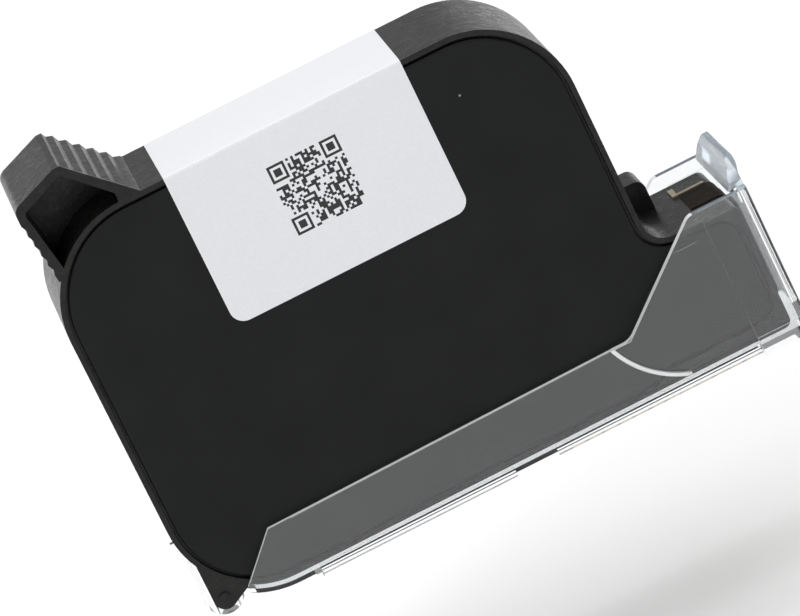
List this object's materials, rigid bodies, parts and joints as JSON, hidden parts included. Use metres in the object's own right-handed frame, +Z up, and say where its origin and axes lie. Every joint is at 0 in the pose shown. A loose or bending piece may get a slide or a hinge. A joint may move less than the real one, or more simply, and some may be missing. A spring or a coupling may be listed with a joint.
{
  "type": "thermal inkjet print cartridge with storage clip",
  "caption": "Flat inkjet print cartridge with a hollow thumb grip, labelled upper edge and print head on its nose, held in a clear hinged storage clip.",
  "frame": {"origin": "centre of the bounding box in x and y, on the resting face of the clip", "axes": "+X along the cartridge towards the nose with the nozzles, +Y through its thickness from the front cover to the rear cover, +Z up from the clip's feet to the thumb grip"},
  "size_m": [0.08, 0.023, 0.0585],
  "materials": {
    "frame_black": "moulded, fine texture",
    "cover_black": "satin",
    "liner_plastic": "natural, matte",
    "film": "clear film",
    "steel_plate": "rolled",
    "guard_film": "thin film",
    "spring_steel": "rolled strip",
    "filter_plastic": "matte",
    "filter_mesh": "woven mesh",
    "ball_steel": "polished",
    "silicon": "polished",
    "bond": "cured adhesive",
    "nozzle_foil": "smooth foil",
    "encapsulant": "glossy bead",
    "polyimide": "smooth film",
    "gold": "plated",
    "copper": "plated",
    "beige_adhesive": "cured adhesive",
    "label_paper": "satin",
    "clip_clear": "clear, polished",
    "seal_rubber": "soft, matte"
  },
  "bodies": {
    "cartridge": {"pen_frame": "frame_black", "front_cover": "cover_black", "rear_cover": "cover_black", "inner_liner": "liner_plastic", "front_film": "film", "rear_film": "film", "bow_spring": "spring_steel", "filter_carrier": "filter_plastic", "filter_screen": "filter_mesh", "fill_port_ball": "ball_steel", "printhead_die": "silicon", "die_adhesive": "bond", "nozzle_plate": "nozzle_foil", "lower_bond_bead": "encapsulant", "upper_bond_bead": "encapsulant", "flex_circuit": "polyimide", "copper_traces": "copper", "contact_pads": "gold", "tail_adhesive": "beige_adhesive", "label": "label_paper"},
    "front_plate": {"front_piston": "steel_plate", "front_edge_guard": "guard_film"},
    "rear_plate": {"rear_piston": "steel_plate", "rear_edge_guard": "guard_film"},
    "clip": {"storage_clip": "clip_clear", "nozzle_seal": "seal_rubber"}
  },
  "joints": [
    {"name": "clip_swing", "type": "hinge", "parent": "cartridge", "child": "clip", "pos_m": [-0.03678, 0, 0.0029], "axis": [0, 1, 0], "range_deg": [0, 18]},
    {"name": "front_plate_travel", "type": "slide", "parent": "cartridge", "child": "front_plate", "axis": [0, 1, 0], "range_m": [0, 0.0045], "stiffness_N_per_m": 60, "springref_m": -0.002, "deforming": ["bow_spring", "front_film", "rear_film"]},
    {"name": "rear_plate_travel", "type": "slide", "parent": "cartridge", "child": "rear_plate", "axis": [0, -1, 0], "range_m": [0, 0.0045]}
  ],
  "couplings": [
    {"joint": "rear_plate_travel", "follows": "front_plate_travel", "ratio": 1}
  ]
}
